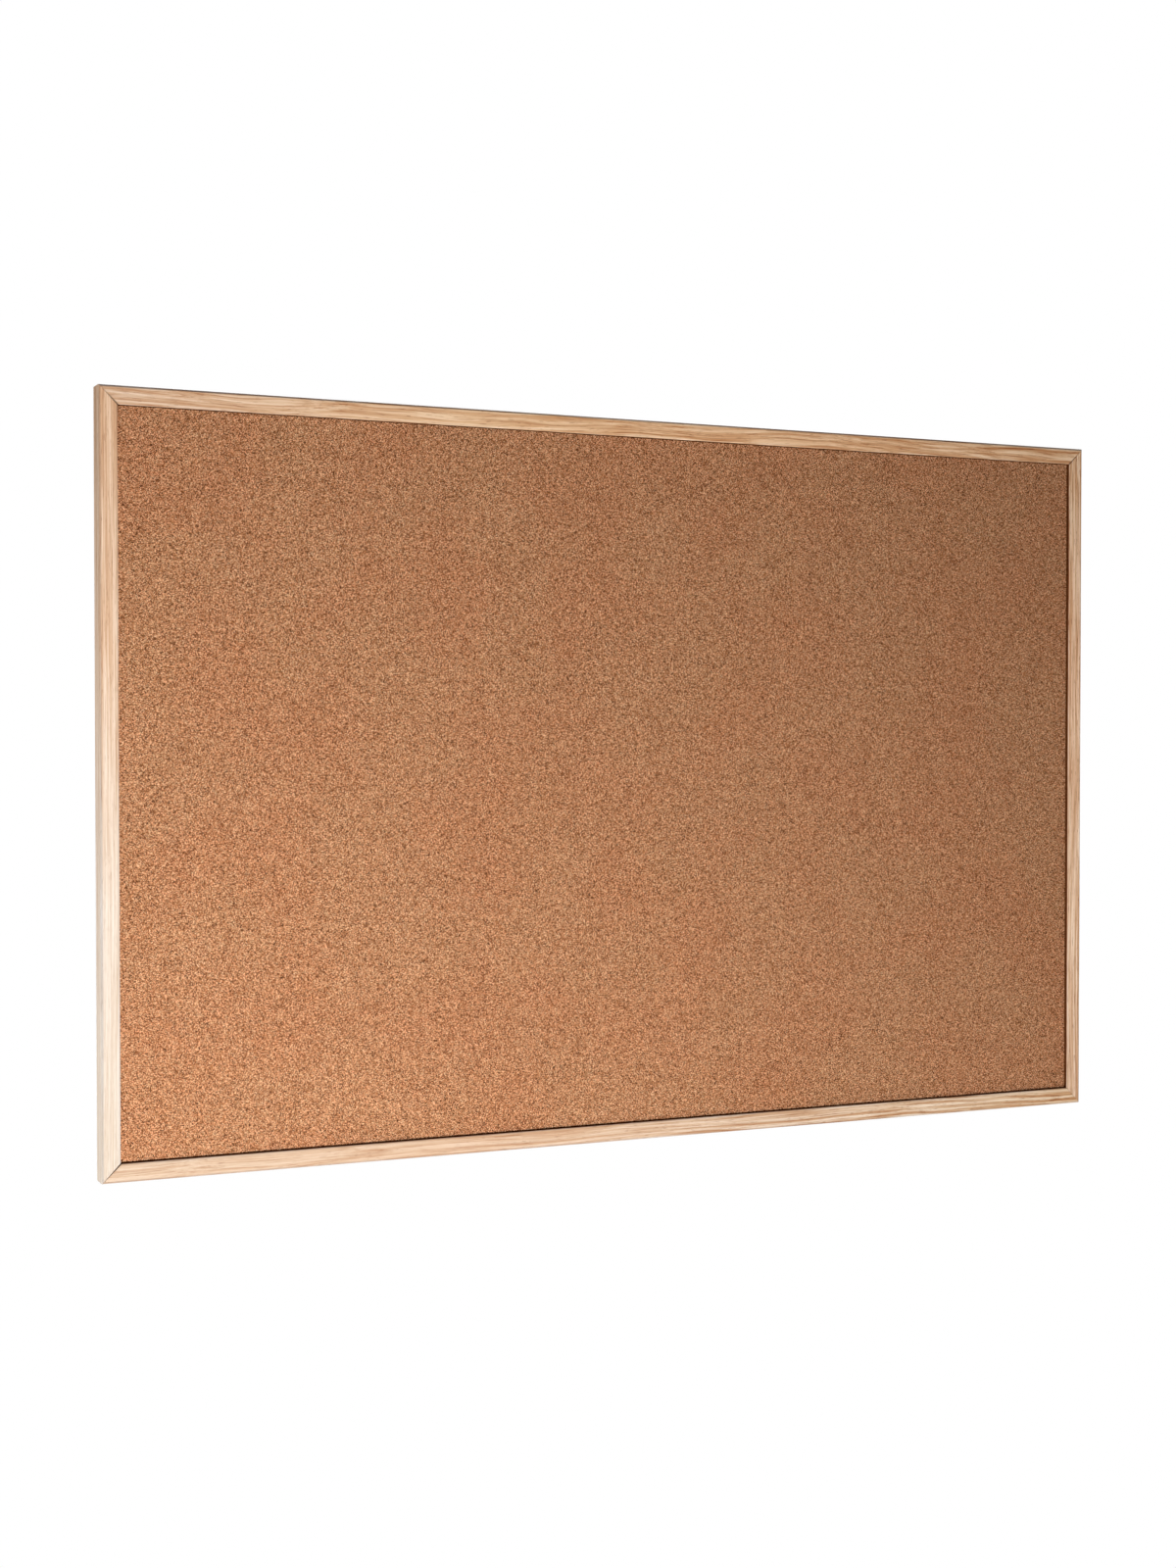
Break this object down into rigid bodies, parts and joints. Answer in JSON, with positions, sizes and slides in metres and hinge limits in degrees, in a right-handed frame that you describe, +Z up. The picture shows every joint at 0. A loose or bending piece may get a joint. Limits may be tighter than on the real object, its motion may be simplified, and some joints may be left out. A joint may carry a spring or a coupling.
{
  "type": "pinboard",
  "caption": "Rectangular cork pinboard in a narrow mitred pine frame, with a recessed cork face and swinging D-ring hangers on its back for hanging on a wall.",
  "frame": {"origin": "middle of the top rail's back face, in the plane of the rails' backs", "axes": "+X to the right as the board is read, +Z up, +Y out of the back towards the wall, so the cork faces -Y"},
  "size_m": [0.9, 0.0223, 0.6],
  "materials": {
    "pine": "planed and sanded pale pine, thin matt clear coat, straight grain along each rail",
    "cork": "fine pressed cork granules, matt, orange-brown with dark and pale specks",
    "fibreboard": "dark brown softboard, rough cut edges",
    "kraft_paper": "brown kraft backing paper, matt",
    "nail_steel": "dull strip steel",
    "zinc_plate": "bright zinc-plated steel",
    "bumper_rubber": "dark grey soft rubber, matt"
  },
  "bodies": {
    "board": {"top_rail": "pine", "bottom_rail": "pine", "left_rail": "pine", "right_rail": "pine", "cork_sheet": "cork", "fibreboard_core": "fibreboard", "backing_paper": "kraft_paper", "v_nail_top_left_outer": "nail_steel", "v_nail_top_left_inner": "nail_steel", "v_nail_top_right_outer": "nail_steel", "v_nail_top_right_inner": "nail_steel", "v_nail_bottom_left_outer": "nail_steel", "v_nail_bottom_left_inner": "nail_steel", "v_nail_bottom_right_outer": "nail_steel", "v_nail_bottom_right_inner": "nail_steel", "hanger_strap_left": "zinc_plate", "hanger_strap_right": "zinc_plate", "hanger_screw_left": "zinc_plate", "hanger_screw_right": "zinc_plate", "wall_bumper_left": "bumper_rubber", "wall_bumper_right": "bumper_rubber"},
    "left_ring": {"hanger_ring_left": "zinc_plate"},
    "right_ring": {"hanger_ring_right": "zinc_plate"}
  },
  "joints": [
    {"name": "left_ring_hinge", "type": "hinge", "parent": "board", "child": "left_ring", "pos_m": [-0.44275, 0.0022, -0.06275], "axis": [1, 0, 0], "range_deg": [0, 175]},
    {"name": "right_ring_hinge", "type": "hinge", "parent": "board", "child": "right_ring", "pos_m": [0.44275, 0.0022, -0.06275], "axis": [1, 0, 0], "range_deg": [0, 175]}
  ]
}
